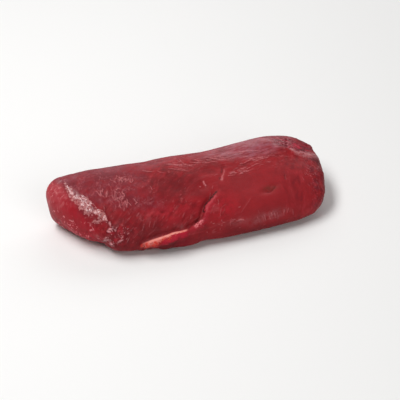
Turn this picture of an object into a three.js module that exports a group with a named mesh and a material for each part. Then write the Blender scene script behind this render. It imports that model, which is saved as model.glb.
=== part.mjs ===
// A raw venison loin fillet: one boneless muscle, cut across at both ends, lying on its flat side.
// Millimetres, +Z up. +X runs along the fillet from its smooth cut end to its ragged end, +Y to its far
// side, and the origin is under the middle of it, on the surface that it lies on.
import * as THREE from "three";

const { clamp, lerp, smoothstep } = THREE.MathUtils;

// Body: a bar whose cross-section is a lopsided rounded wedge, highest near its far flank
const BODY_LENGTH = 213.3;
const BODY_MIDDLE_X = 3.3;
const NEAR_FLANK_Y = -44.4;
const FAR_FLANK_Y = 45.3;
const CREST_Y = 33.6;
const CREST_HEIGHT = 42;
const NEAR_BELLY_HEIGHT = 9;
const FAR_BELLY_HEIGHT = 17;
const BOW = 1.05;

// Roundness of the section: 2 is an ellipse, more is squarer
const NEAR_SLOPE_POWER = 1.9;
const FAR_SHOULDER_POWER = 2.75;
const UNDERSIDE_POWER = 2.6;

// The soft underside is pressed flat by this much
const SINK = 1.5;
const HIGHEST = SINK + CREST_HEIGHT;

// Ends: how square the rim is, how far the face domes, how it is turned and tipped (mm per mm),
// and how much narrower and lower than the body the section is there (shares of its size)
const CUT_END = { squareness: 7, dome: 12.7, turn: 0.5, tip: -0.106, narrowing: 0.113, lowering: -0.124 };
const RAGGED_END = { squareness: 6, dome: 11, turn: -0.05, tip: 0.33, narrowing: 0, lowering: 0.01 };
const TURN_START = 0.3;
const POLE_Y = 10.1;
const POLE_Z = 0.42 * HIGHEST;

// Two swells of the body: a hump on the crest, and a corner where the near flank meets the cut end
const HUMP = { x: 74.2, y: 32.1, spreadX: 27.1, spreadY: 22, height: 4.9 };
const NEAR_CORNER = { x: -70.2, spread: 10.7, height: 2.2 };

// Beside that corner the foot of the cut end is pushed in by depth, fading out between two heights
const FOOT_NOTCH = { x: -92, y: -23.7, spread: 9, depth: [3.3, 3.75], low: 8, high: 24 };

// Seam: the edge where the right-hand muscle overlaps the rest. From a blunt tip it runs along the near
// flank as the top edge of a flap, and then climbs the near slope as a slit between two muscles. The slit
// closes, and shows once more as a short crease by the crest.
// Each point is [x, v], where v is the height on a plane that faces the near slope at 45 degrees.
const SEAM = [
  [-60.5, -29], [-60.8, -22], [-59, -17], [-52, -15.4], [-43, -14.5], [-32, -13.7], [-20, -13.4],
  [-12, -11], [-5, -7], [-2, -2], [3, 4.6], [14, 13], [24, 25], [32, 36],
];
const FLAP_TIP = [6, 14];   // the tip rises between these walks along the seam
const FLAP_END = 40;
const SLIT_START = 54;
const SLIT_FADE_START = 84;
const SLIT_END = 104;
const CREASE_START = 109;
const CREASE_DEPTH = 0.8;
const CREASE_HALF_WIDTH = 1.7;
const FLAP_LIP = 2.9;
const FLAP_TIP_LIP = 1.4;
const FLAP_THICKNESS = 7.6;
const FLAP_TIP_THICKNESS = 4.5;
const FLAP_GROOVE = 1.1;
const FLAP_UNDERCUT = 0.8;
const SLIT_LIP = 1.5;
const SLIT_LIP_SPREAD = 13;
const SLIT_DEPTH = 1.9;
const SLIT_HALF_WIDTH = 2.6;
const LIP_RISE = [-1.6, 2.8];   // distances between which a lip rises

// Skin edge: by the ragged end a membrane on the crest stops in a raised edge, and the lobe of meat
// behind it lies lower and has a small pit. Each point is [x, y].
const SKIN_EDGE = [[80, 19], [89, 17.9], [94, 14.8], [99, 10.7], [106, 9], [113, 8.6], [124, 11]];
const SKIN_EDGE_HEIGHT = 1.2;
const SKIN_EDGE_HALF_WIDTH = 3;
const LOBE_DROP = 1.9;
const LOBE_WIDTH = 22;
const PIT = { x: 94.5, y: 23, spread: 4.2, depth: 2.2 };

// Two long creases on the far flank, where the muscle bulges over and under them. Points are [x, z].
const FAR_CREASES = [[[-84, 25], [-40, 29], [6, 22]], [[-8, 33], [34, 27], [86, 25]]];
const FAR_CREASE_DEPTH = 1.1;
const FAR_CREASE_HALF_WIDTH = 4;

// Dents and swells of the near slope, placed by x and v
const SWELLS = [
  { x: 58, v: 5.2, spreadX: 6.5, spreadV: 2.6, height: -1.3 },
  { x: 67, v: 9.4, spreadX: 5, spreadV: 2.2, height: -0.8 },
  { x: 77, v: 1.5, spreadX: 3, spreadV: 9, height: -1 },
  { x: -10, v: 24, spreadX: 18, spreadV: 10, height: -1 },
  { x: 6, v: 20.5, spreadX: 4, spreadV: 3.5, height: -0.7 },
  { x: -28, v: -5, spreadX: 15, spreadV: 7, height: 0.9 },
  { x: 38, v: -4, spreadX: 22, spreadV: 12, height: 0.8 },
  { x: 90, v: 20, spreadX: 10, spreadV: 9, height: 0.8 },
  { x: 114, v: 48, spreadX: 10, spreadV: 8, height: -2.4 },
  { x: -38, v: -27, spreadX: 14, spreadV: 7, height: 2.6 },
  { x: -4, v: -27, spreadX: 9, spreadV: 7, height: -1.8 },
];

// Slow unevenness everywhere, crags on the ragged end, and a lip round the smooth cut end
const UNEVENNESS = 0.35;
const CRAG_HEIGHT = 1;
const CRAG_START = 0.86;
const RIM_LIP = 0.6;
const RIM_HALF_WIDTH = 5;

// Mesh: a walk runs from pole to pole over the cut face, the body and the ragged face, crossed by rings.
// Rings are closest along the seam, and points on a ring are furthest apart underneath.
const FACE_WALK = 40;
const BODY_WALK = 240;
const WHOLE_WALK = 2 * FACE_WALK + BODY_WALK;
const RING_COUNT = 98;
const RING_POINTS = 58;
const SEAM_WALK = [50, 196];
const SPACING_OFF_SEAM = 1.7;
const SPACING_FAR_SIDE = 1.5;
const SPACING_UNDERNEATH = 3;
const FINE_STEPS = 1440;
const PATH_STEPS = 96;
const SLOPE_STEP = { walk: 1, angle: 0.01 };

const MEAT_COLOUR = 0x8b2a30;

/** The point in direction (a, b) on the superellipse |a|^power + |b|^power = 1. */
function onSuperellipse(a, b, power) {
  const size = (Math.abs(a) ** power + Math.abs(b) ** power) ** (1 / power);
  return [a / size, b / size];
}

/** A smooth bump, 1 in the middle and 0.37 at its spread. */
function bell(distance, spread) {
  return Math.exp(-((distance / spread) ** 2));
}

/** Full-size cross-section: side is -1 on the near flank and 1 on the far one. */
function sectionPoint(angle) {
  const across = Math.cos(angle);
  const up = Math.sin(angle);
  const topPower = across > 0 ? FAR_SHOULDER_POWER : NEAR_SLOPE_POWER;
  const [side, rise] = onSuperellipse(across, up, up > 0 ? topPower : UNDERSIDE_POWER);
  const reach = side > 0 ? FAR_FLANK_Y - CREST_Y : CREST_Y - NEAR_FLANK_Y;
  const belly = SINK + lerp(NEAR_BELLY_HEIGHT, FAR_BELLY_HEIGHT, smoothstep(side, -1, 1));
  const z = belly + rise * (up > 0 ? HIGHEST - belly : belly);
  return { side, y: CREST_Y + reach * side, z };
}

/** The fillet before its relief: the section swept along the walk, closing on a pole at each end. */
function mainForm(walk, angle) {
  const onBody = clamp((walk - FACE_WALK) / BODY_WALK, 0, 1) * 2 - 1;
  const onFace = clamp(Math.min(walk, WHOLE_WALK - walk) / FACE_WALK, 0, 1);
  const end = onBody < 0 ? CUT_END : RAGGED_END;
  const outwards = onBody < 0 ? -1 : 1;
  const [along, girth] = onSuperellipse(onBody, onFace, end.squareness);
  const nearEnd = smoothstep(Math.abs(along), 0, 1);
  const turned = smoothstep(Math.abs(along), TURN_START, 1);

  const section = sectionPoint(angle);
  const narrowed = (section.y - POLE_Y) * girth * (1 - end.narrowing * nearEnd);
  const closed = POLE_Z + (section.z - POLE_Z) * girth;
  let y = POLE_Y + narrowed + BOW * (along ** 2 - 0.5);
  let z = closed * (1 - end.lowering * nearEnd);
  let x = BODY_MIDDLE_X + (along * BODY_LENGTH) / 2 + outwards * end.dome * (1 - girth ** 2);
  x += turned * (end.tip * (z - POLE_Z) - end.turn * (y - POLE_Y));

  const hump = bell(x - HUMP.x, HUMP.spreadX) * bell(y - HUMP.y, HUMP.spreadY);
  const corner = girth * Math.min(section.side, 0) ** 2 * bell(x - NEAR_CORNER.x, NEAR_CORNER.spread);
  z += HUMP.height * clamp(z / HIGHEST, 0, 1) * hump;
  y -= NEAR_CORNER.height * corner;

  const fromNotch = Math.hypot(x - FOOT_NOTCH.x, y - FOOT_NOTCH.y);
  const pushed = bell(fromNotch, FOOT_NOTCH.spread) * (1 - smoothstep(z, FOOT_NOTCH.low, FOOT_NOTCH.high));
  x += FOOT_NOTCH.depth[0] * pushed;
  y += FOOT_NOTCH.depth[1] * pushed;
  return { point: new THREE.Vector3(x, y, z), along, girth, side: section.side };
}

/** A smooth path through the given points. */
function smoothPath(points) {
  return new THREE.SplineCurve(points.map(([a, b]) => new THREE.Vector2(a, b))).getPoints(PATH_STEPS);
}

const SEAM_PATH = smoothPath(SEAM);
const SKIN_EDGE_PATH = smoothPath(SKIN_EDGE);
const FAR_CREASE_PATHS = FAR_CREASES.map(smoothPath);

/** Distance from a path, positive on its right hand and negative on its left, and how far along it. */
function measureFrom(path, u, v) {
  const place = new THREE.Vector2(u, v);
  let nearest = { distance: Infinity, walked: 0 };
  let walked = 0;
  for (let i = 1; i < path.length; i += 1) {
    const leg = path[i].clone().sub(path[i - 1]);
    const offset = place.clone().sub(path[i - 1]);
    const share = clamp(offset.dot(leg) / leg.lengthSq(), 0, 1);
    offset.addScaledVector(leg, -share);
    if (offset.length() < Math.abs(nearest.distance)) {
      const hand = leg.cross(offset) > 0 ? -1 : 1;
      nearest = { distance: hand * offset.length(), walked: walked + share * leg.length() };
    }
    walked += leg.length();
  }
  return nearest;
}

/** Slit between the two muscles: a lip that fades to the right of it and a groove under the lip. */
function slitRelief(distance) {
  const lip = smoothstep(distance, ...LIP_RISE) * bell(Math.max(distance - 3, 0), SLIT_LIP_SPREAD);
  return SLIT_LIP * lip - SLIT_DEPTH * bell(distance + 1, SLIT_HALF_WIDTH);
}

/** Flap on the near flank: it stands out for its thickness and is undercut below, thinner at its tip. */
function flapRelief(distance, walked) {
  const full = smoothstep(walked, 0, FLAP_END);
  const thickness = lerp(FLAP_TIP_THICKNESS, FLAP_THICKNESS, full);
  const below = smoothstep(distance, thickness - 2.4, thickness + 1.2);
  const standing = lerp(FLAP_TIP_LIP, FLAP_LIP, full) * smoothstep(distance, ...LIP_RISE) * (1 - below);
  const groove = FLAP_GROOVE * bell(distance + 1, SLIT_HALF_WIDTH);
  return standing - groove - FLAP_UNDERCUT * below * bell(distance, SLIT_LIP_SPREAD);
}

/** The seam's flap and slit joined and fading out at both ends, and the short crease past them. */
function seamRelief(u, v) {
  const { distance, walked } = measureFrom(SEAM_PATH, u, v);
  const shown = smoothstep(walked, ...FLAP_TIP) * (1 - smoothstep(walked, SLIT_FADE_START, SLIT_END));
  const slitShare = smoothstep(walked, FLAP_END, SLIT_START);
  const crease = smoothstep(walked, CREASE_START, CREASE_START + 5) * bell(distance + 1, CREASE_HALF_WIDTH);
  return shown * lerp(flapRelief(distance, walked), slitRelief(distance), slitShare) - CREASE_DEPTH * crease;
}

/** Raised edge of the membrane, and the lower lobe with its pit on the edge's left hand. */
function skinEdgeRelief(x, y) {
  const { distance, walked } = measureFrom(SKIN_EDGE_PATH, x, y);
  const behind = Math.max(-distance, 0);
  const lobe = LOBE_DROP * smoothstep(behind, 0, 4) * (1 - smoothstep(behind, 0.6 * LOBE_WIDTH, LOBE_WIDTH));
  const ridge = SKIN_EDGE_HEIGHT * bell(distance - 1, SKIN_EDGE_HALF_WIDTH);
  const pit = PIT.depth * bell(Math.hypot(x - PIT.x, y - PIT.y), PIT.spread);
  return smoothstep(walked, 0, 10) * (ridge - lobe) - pit;
}

/** Creases of the far flank, each fading out towards its two ends. */
function farCreaseRelief(x, z) {
  const depths = FAR_CREASE_PATHS.map((path) => {
    const { distance, walked } = measureFrom(path, x, z);
    const shown = smoothstep(walked, 0, 30) * (1 - smoothstep(walked, 60, 88));
    return FAR_CREASE_DEPTH * shown * bell(distance, FAR_CREASE_HALF_WIDTH);
  });
  return -Math.max(...depths);
}

/** Slow waves over the whole fillet. */
function unevenness({ x, y, z }) {
  const lumps = Math.sin(x / 9 + y / 14) * Math.sin(y / 8 - z / 11);
  const rolls = Math.sin(x / 17 - z / 7 + 2);
  return UNEVENNESS * (lumps + rolls);
}

/** Torn bundles of muscle on the ragged end. */
function crags({ y, z }) {
  const bundles = Math.sin(y / 3.4 + 1.4 * Math.sin(z / 6.2)) * Math.sin(z / 4.6 + 0.8);
  return CRAG_HEIGHT * (bundles + 0.6 * Math.sin(y / 6.1 - z / 3.7));
}

/** Height of the relief at a place on the main form, measured outwards from it. */
function relief(walk, { point, along, girth, side }) {
  const { x, y, z } = point;
  const v = (y + z) / Math.SQRT2;
  const onNearSlope = smoothstep(-side, -0.9, -0.4);
  const onTop = smoothstep(z, 14, 32) * smoothstep(girth, 0.6, 0.97);
  const onFarFlank = smoothstep(side, 0.5, 0.9);
  const swells = SWELLS.map((s) => s.height * bell(x - s.x, s.spreadX) * bell(v - s.v, s.spreadV));
  let height = onNearSlope * swells.reduce((sum, swell) => sum + swell, seamRelief(x, v));
  height += onTop * skinEdgeRelief(x, y);
  height += onFarFlank * farCreaseRelief(x, z);
  height += unevenness(point);
  height += smoothstep(along, CRAG_START, 1) * girth * crags(point);
  height += RIM_LIP * bell(walk - FACE_WALK, RIM_HALF_WIDTH);
  return height * smoothstep(z, SINK, SINK + 4);
}

/** A place on the finished surface: the main form, moved outwards by its relief and flat underneath. */
function surfacePoint(walk, angle) {
  const form = mainForm(walk, angle);
  if (form.girth > 0) {
    const ahead = mainForm(walk + SLOPE_STEP.walk, angle).point;
    const behind = mainForm(walk - SLOPE_STEP.walk, angle).point;
    const onwards = mainForm(walk, angle + SLOPE_STEP.angle).point;
    const backwards = mainForm(walk, angle - SLOPE_STEP.angle).point;
    const outwards = onwards.sub(backwards).cross(ahead.sub(behind)).normalize();
    form.point.addScaledVector(outwards, relief(walk, form));
  }
  form.point.z = Math.max(form.point.z - SINK, 0);
  return form.point;
}

/** Picks values from a fine list so that the cost of going from each to the next is the same. */
function spreadEvenly(values, costs, count) {
  const total = costs.reduce((sum, cost) => sum + cost, 0);
  const picked = [];
  let spent = 0;
  for (let i = 0; i < values.length; i += 1) {
    if (spent >= (picked.length * total) / count) {
      picked.push(values[i]);
    }
    spent += costs[i];
  }
  return picked.slice(0, count);
}

/** Walks at which the rings lie, between the two poles. */
function ringWalks() {
  const walks = Array.from({ length: FINE_STEPS }, (_, i) => (i / FINE_STEPS) * WHOLE_WALK);
  const costs = walks.map((walk) => (walk > SEAM_WALK[0] && walk < SEAM_WALK[1] ? 1 : 1 / SPACING_OFF_SEAM));
  return spreadEvenly(walks, costs, RING_COUNT + 1).slice(1);
}

/** Angles of the points on a ring, spaced by distance round the middle section. */
function ringAngles() {
  const angles = Array.from({ length: FINE_STEPS }, (_, i) => (i / FINE_STEPS) * 2 * Math.PI);
  const places = angles.map((angle) => mainForm(WHOLE_WALK / 2, angle).point);
  const costs = places.map((place, i) => {
    const spacing = place.z < SINK ? SPACING_UNDERNEATH : place.y > CREST_Y ? SPACING_FAR_SIDE : 1;
    return place.distanceTo(places[(i + 1) % FINE_STEPS]) / spacing;
  });
  return spreadEvenly(angles, costs, RING_POINTS);
}

/** One closed skin: rings joined by triangles split on the shorter diagonal, and a fan at each pole. */
function filletGeometry() {
  const angles = ringAngles();
  const points = ringWalks().flatMap((walk) => angles.map((angle) => surfacePoint(walk, angle)));
  const firstPole = points.push(surfacePoint(0, 0)) - 1;
  const lastPole = points.push(surfacePoint(WHOLE_WALK, 0)) - 1;
  const triangles = [];
  for (let j = 0; j < RING_POINTS; j += 1) {
    const next = (j + 1) % RING_POINTS;
    const lastRing = (RING_COUNT - 1) * RING_POINTS;
    triangles.push(j, firstPole, next);
    triangles.push(lastRing + j, lastRing + next, lastPole);
    for (let i = 0; i < RING_COUNT - 1; i += 1) {
      const [a, d] = [i * RING_POINTS + j, i * RING_POINTS + next];
      const [b, c] = [a + RING_POINTS, d + RING_POINTS];
      const splitAC = points[a].distanceTo(points[c]) < points[b].distanceTo(points[d]);
      triangles.push(...(splitAC ? [a, d, c, a, c, b] : [a, d, b, b, d, c]));
    }
  }
  const geometry = new THREE.BufferGeometry().setFromPoints(points);
  geometry.setIndex(triangles);
  geometry.computeVertexNormals();
  return geometry;
}

/** Puts the origin under the middle of the geometry. */
function centreOnOrigin(geometry) {
  geometry.computeBoundingBox();
  const middle = geometry.boundingBox.getCenter(new THREE.Vector3());
  geometry.translate(-middle.x, -middle.y, 0);
  return geometry;
}

const meat = new THREE.MeshStandardMaterial({ color: MEAT_COLOUR, roughness: 0.35, metalness: 0 });
const fillet = new THREE.Mesh(centreOnOrigin(filletGeometry()), meat);
fillet.name = "fillet";

const part = new THREE.Group();
part.add(fillet);

export default part;
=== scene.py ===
import math
from collections import namedtuple
from functools import cached_property

import bpy
import numpy as np
from mathutils import Matrix, Vector


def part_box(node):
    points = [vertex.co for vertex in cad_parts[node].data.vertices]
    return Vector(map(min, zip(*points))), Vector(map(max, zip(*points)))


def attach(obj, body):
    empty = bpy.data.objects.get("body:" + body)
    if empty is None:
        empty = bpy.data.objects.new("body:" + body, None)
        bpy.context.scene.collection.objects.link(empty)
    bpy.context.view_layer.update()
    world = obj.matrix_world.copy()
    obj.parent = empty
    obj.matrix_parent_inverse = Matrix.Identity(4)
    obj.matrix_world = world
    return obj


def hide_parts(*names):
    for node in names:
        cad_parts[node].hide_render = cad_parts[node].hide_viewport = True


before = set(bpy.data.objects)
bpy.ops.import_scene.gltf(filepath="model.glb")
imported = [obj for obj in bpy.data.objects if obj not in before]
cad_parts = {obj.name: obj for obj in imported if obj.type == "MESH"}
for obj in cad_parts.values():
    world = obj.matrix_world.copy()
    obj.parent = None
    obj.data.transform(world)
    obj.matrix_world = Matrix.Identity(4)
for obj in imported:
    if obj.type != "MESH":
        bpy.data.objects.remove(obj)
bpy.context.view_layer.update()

# A raw venison loin fillet, lying flat side down on a pale floor, seen from its near left side.
# Lengths are in millimetres until a mesh is made, and Blender's metres from there on.
MM = 0.001
FILLET_LOW, FILLET_HIGH = (np.array(corner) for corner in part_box("fillet"))

# Body: a bar whose cross-section is a lopsided rounded wedge, highest near its far flank
BODY_LENGTH = 213.3
BODY_MIDDLE_X = 3.3
NEAR_FLANK_Y = -44.4
FAR_FLANK_Y = 45.3
CREST_Y = 33.6
CREST_HEIGHT = 42
NEAR_BELLY_HEIGHT = 9
FAR_BELLY_HEIGHT = 17
BOW = 1.05
NEAR_SLOPE_POWER = 1.9
FAR_SHOULDER_POWER = 2.75
UNDERSIDE_POWER = 2.6
SINK = 1.5
HIGHEST = SINK + CREST_HEIGHT

# Ends: squareness of the rim, dome of the face, turn and tip (mm per mm), narrowing and lowering (shares)
CUT_END = (7, 12.7, 0.5, -0.106, 0.113, -0.124)
RAGGED_END = (6, 11, -0.05, 0.33, 0, 0.01)
TURN_START = 0.3
POLE_Y = 10.1
POLE_Z = 0.42 * HIGHEST
NEAR_CORNER_X, NEAR_CORNER_SPREAD, NEAR_CORNER_HEIGHT = -70.2, 10.7, 2.2

# Soft spots, here and below: x and y (or v, or distance down), the spreads along them, and strength
HUMP = [(74.2, 32.1, 27.1, 22, 4.9)]
FOOT_NOTCH = [(-92, -23.7, 9, 9, 1)]
FOOT_NOTCH_DEPTH_X, FOOT_NOTCH_DEPTH_Y, FOOT_NOTCH_FADE = 3.3, 3.75, (8, 24)

# Seam: from the tip of the flap along the near flank, then up the near slope. Points are [x, v], v being
# the height on a plane that faces the near slope at 45 degrees. Its parts begin and end at lengths along
# it. The lip's rise and flat top, the flap's foot and the groove's middle are distances to its right.
SEAM = [
    (-60.5, -29), (-60.8, -22), (-59, -17), (-52, -15.4), (-43, -14.5), (-32, -13.7), (-20, -13.4),
    (-12, -11), (-5, -7), (-2, -2), (3, 4.6), (14, 13), (24, 25), (32, 36),
]
FLAP_TIP = (6, 14)
FLAP_END, SLIT_START, SLIT_FADE_START, SLIT_END = 40, 54, 84, 104
CREASE_START, CREASE_DEPTH, CREASE_HALF_WIDTH = (109, 114), 0.8, 1.7
FLAP_LIP, FLAP_TIP_LIP, FLAP_THICKNESS, FLAP_TIP_THICKNESS = 2.9, 1.4, 7.6, 4.5
FLAP_GROOVE, FLAP_UNDERCUT = 1.1, 0.8
SLIT_LIP, SLIT_LIP_SPREAD, SLIT_DEPTH, SLIT_HALF_WIDTH = 1.5, 13, 1.9, 2.2
LIP_RISE, LIP_FLAT, FLAP_FOOT, GROOVE_MIDDLE = (-1.5, 2), 3, (-2.4, 1.2), -1

# Skin edge: the raised edge of the membrane by the ragged end, as [x, y], and the lobe and pit behind it
SKIN_EDGE = [(80, 19), (89, 17.9), (94, 14.8), (99, 10.7), (106, 9), (113, 8.6), (124, 11)]
SKIN_EDGE_HEIGHT, SKIN_EDGE_HALF_WIDTH, SKIN_EDGE_START = 1.2, 3, (0, 10)
LOBE_DROP, LOBE_SPAN = 1.9, (0, 4, 13.2, 22)
PIT = [(94.5, 23, 4.2, 4.2, 1)]
PIT_DEPTH = 2.2

# Creases of the far flank, as [x, z], and swells of the near slope, as x, v, spreads and height
FAR_CREASES = [[(-84, 25), (-40, 29), (6, 22)], [(-8, 33), (34, 27), (86, 25)]]
FAR_CREASE_DEPTH, FAR_CREASE_HALF_WIDTH, FAR_CREASE_SPAN = 1.1, 4, (0, 30, 60, 88)
SWELLS = [
    (58, 5.2, 6.5, 2.6, -1.3), (67, 9.4, 5, 2.2, -0.8), (77, 1.5, 3, 9, -1), (-10, 24, 18, 10, -1),
    (6, 20.5, 4, 3.5, -0.7), (-28, -5, 15, 7, 0.9), (38, -4, 22, 12, 0.8), (90, 20, 10, 9, 0.8),
    (114, 48, 10, 8, -2.4), (-38, -27, 14, 7, 2.6), (-4, -27, 9, 7, -1.8),
]
UNEVENNESS, CRAG_HEIGHT, CRAG_START, RIM_LIP, RIM_HALF_WIDTH = 0.35, 1, 0.86, 0.6, 5

# Where the near slope, the top and the far flank begin, by side from -1 (near) to 1, height and girth
NEAR_SLOPE_SPAN, FAR_FLANK_SPAN, TOP_HEIGHTS, TOP_GIRTHS = (-0.9, -0.4), (0.5, 0.9), (14, 32), (0.6, 0.97)

# Mesh of the fine surface
FACE_WALK, BODY_WALK = 40, 240
WHOLE_WALK = 2 * FACE_WALK + BODY_WALK
RING_COUNT = 430
RING_POINTS = 224
SPACING_FAR_SIDE, SPACING_UNDERNEATH = 1.3, 4
FINE_STEPS = 4096
PATH_STEPS = 96

# Camera: where it stands in metres, how it looks and its focal length, fitted to the photograph
CAMERA_PLACE = (-0.2482, -0.7363, 0.5637)
CAMERA_AZIMUTH = math.radians(-19)
CAMERA_ELEVATION = math.radians(35.06)
FOCAL_LENGTH_PX = 1104
FRAME_PX = 400
SENSOR_MM = 36


# Shapes in numpy

def bell(distance, spread):
    """A smooth bump: e to the minus square of distance over spread."""
    return np.exp(-((distance / spread) ** 2))


def wide_bell(value, middle, half_width, spread):
    """1 within the half width of the middle, and half of a bell past it on either side."""
    return bell(np.maximum(np.abs(value - middle) - half_width, 0), spread)


def step(value, low, high):
    """0 below low, 1 above high, and a smooth cubic between them."""
    share = np.clip((value - low) / (high - low), 0, 1)
    return share * share * (3 - 2 * share)


def fade(value, low, high):
    """1 below low, 0 above high, and a smooth cubic between them."""
    return 1 - step(value, low, high)


def plateau(value, rise_start, rise_end, fade_start, fade_end):
    """Rises from 0 to 1, stays there, and fades to 0 again."""
    return step(value, rise_start, rise_end) * fade(value, fade_start, fade_end)


def spots(u, v, table):
    """The sum of soft oval spots, each given as u, v, its two spreads and its strength."""
    return sum(strength * bell(u - a, c) * bell(v - b, d) for a, b, c, d, strength in table)


def lerp(start, end, share):
    """The value that lies that share of the way from start to end."""
    return start + (end - start) * share


def on_superellipse(a, b, power):
    """The point in direction (a, b) where |a|^power + |b|^power is 1."""
    size = (np.abs(a) ** power + np.abs(b) ** power) ** (1 / power)
    return a / size, b / size


def section_point(angle):
    """Full-size section: a superellipse with its own roundness and reach in each quarter."""
    across, up = np.cos(angle), np.sin(angle)
    top_power = np.where(across > 0, FAR_SHOULDER_POWER, NEAR_SLOPE_POWER)
    side, rise = on_superellipse(across, up, np.where(up > 0, top_power, UNDERSIDE_POWER))
    reach = np.where(side > 0, FAR_FLANK_Y - CREST_Y, CREST_Y - NEAR_FLANK_Y)
    belly = SINK + lerp(NEAR_BELLY_HEIGHT, FAR_BELLY_HEIGHT, step(side, -1, 1))
    z = belly + rise * np.where(up > 0, HIGHEST - belly, belly)
    return side, CREST_Y + reach * side, z


def main_form(walk, angle):
    """The section swept along the walk and shrunk to a pole at each end, where the walk turns a
    superellipse's corner; the ends are then domed, turned, tipped and narrowed, the hump and the near
    corner are added, and the foot of the cut end is pushed in at one place."""
    on_body = np.clip((walk - FACE_WALK) / BODY_WALK, 0, 1) * 2 - 1
    on_face = np.clip(np.minimum(walk, WHOLE_WALK - walk) / FACE_WALK, 0, 1)
    left = on_body < 0
    square, dome, turn, tip, narrow, lower = (np.where(left, a, b) for a, b in zip(CUT_END, RAGGED_END))
    along, girth = on_superellipse(on_body, on_face, square)
    near_end = step(np.abs(along), 0, 1)
    turned = step(np.abs(along), TURN_START, 1)
    side, section_y, section_z = section_point(angle)
    y = POLE_Y + (section_y - POLE_Y) * girth * (1 - narrow * near_end) + BOW * (along ** 2 - 0.5)
    z = (POLE_Z + (section_z - POLE_Z) * girth) * (1 - lower * near_end)
    x = BODY_MIDDLE_X + along * BODY_LENGTH / 2 + np.where(left, -1, 1) * dome * (1 - girth ** 2)
    x = x + turned * (tip * (z - POLE_Z) - turn * (y - POLE_Y))
    z = z + np.clip(z / HIGHEST, 0, 1) * spots(x, y, HUMP)
    corner = girth * np.minimum(side, 0) ** 2 * bell(x - NEAR_CORNER_X, NEAR_CORNER_SPREAD)
    y = y - NEAR_CORNER_HEIGHT * corner
    pushed = spots(x, y, FOOT_NOTCH) * fade(z, *FOOT_NOTCH_FADE)
    x = x + FOOT_NOTCH_DEPTH_X * pushed
    y = y + FOOT_NOTCH_DEPTH_Y * pushed
    return np.stack([x, y, z], axis=-1), along, girth, side


def outward_normals(walk, angle, walk_step=1.0, angle_step=0.01):
    """Unit normals: the cross product of the main form's slopes round a ring and along the walk."""
    along_walk = main_form(walk + walk_step, angle)[0] - main_form(walk - walk_step, angle)[0]
    round_ring = main_form(walk, angle + angle_step)[0] - main_form(walk, angle - angle_step)[0]
    normal = np.cross(round_ring, along_walk)
    return normal / np.maximum(np.linalg.norm(normal, axis=-1, keepdims=True), 1e-9)


def smooth_path(points):
    """A uniform Catmull-Rom curve through the points, with its two end points doubled."""
    p = np.array([points[0], *points, points[-1]], dtype=float)
    place = np.linspace(0, len(points) - 1, PATH_STEPS + 1)
    i = np.minimum(place.astype(int), len(points) - 2)
    t = (place - i)[:, None]
    v0, v1 = (p[i + 2] - p[i]) / 2, (p[i + 3] - p[i + 1]) / 2
    start, end = p[i + 1], p[i + 2]
    cubic = (2 * start - 2 * end + v0 + v1) * t ** 3 + (-3 * start + 3 * end - 2 * v0 - v1) * t ** 2
    return cubic + v0 * t + start


def measure_from(points, u, v):
    """Distance from the smooth path through the points, positive on its right hand, and the length walked
    along it to there."""
    path = smooth_path(points)
    nearest = np.full(u.shape, np.inf)
    walked_there = np.zeros(u.shape)
    walked = 0.0
    for start, end in zip(path[:-1], path[1:]):
        leg = end - start
        length = math.hypot(*leg)
        share = np.clip(((u - start[0]) * leg[0] + (v - start[1]) * leg[1]) / length ** 2, 0, 1)
        off_u, off_v = u - start[0] - share * leg[0], v - start[1] - share * leg[1]
        distance = np.hypot(off_u, off_v)
        closer = distance < np.abs(nearest)
        hand = np.where(leg[0] * off_v - leg[1] * off_u > 0, -1.0, 1.0)
        nearest = np.where(closer, hand * distance, nearest)
        walked_there = np.where(closer, walked + share * length, walked_there)
        walked += length
    return nearest, walked_there


def noise(u, v, w, seed):
    """Smooth value noise from -1 to 1: a fixed random number for each whole-numbered place, blended
    across the cell between them by a smooth cubic."""
    u, v, w = np.broadcast_arrays(u, v, w)
    low = [np.floor(c).astype(np.int64) for c in (u, v, w)]
    shares = [c - f for c, f in zip((u, v, w), low)]
    shares = [s * s * (3 - 2 * s) for s in shares]
    total = np.zeros(u.shape)
    for corner in range(8):
        steps = [(corner >> axis) & 1 for axis in range(3)]
        i, j, k = (f + s for f, s in zip(low, steps))
        mixed = (i * 374761393 + j * 668265263 + k * 1442695041 + seed * 974634777) & 0xFFFFFFFF
        mixed = ((mixed ^ (mixed >> 13)) * 1274126177) & 0xFFFFFFFF
        value = ((mixed ^ (mixed >> 16)) & 0xFFFF) / 32767.5 - 1
        weight = np.prod([s if up else 1 - s for s, up in zip(shares, steps)], axis=0)
        total += weight * value
    return total


def layered_noise(u, v, w, seed, layers):
    """Noise plus finer copies of itself, each half as coarse and half as strong."""
    return sum(noise(u * 2 ** n, v * 2 ** n, w * 2 ** n, seed + n) / 2 ** n for n in range(layers))


# Relief shared with the solid

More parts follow.
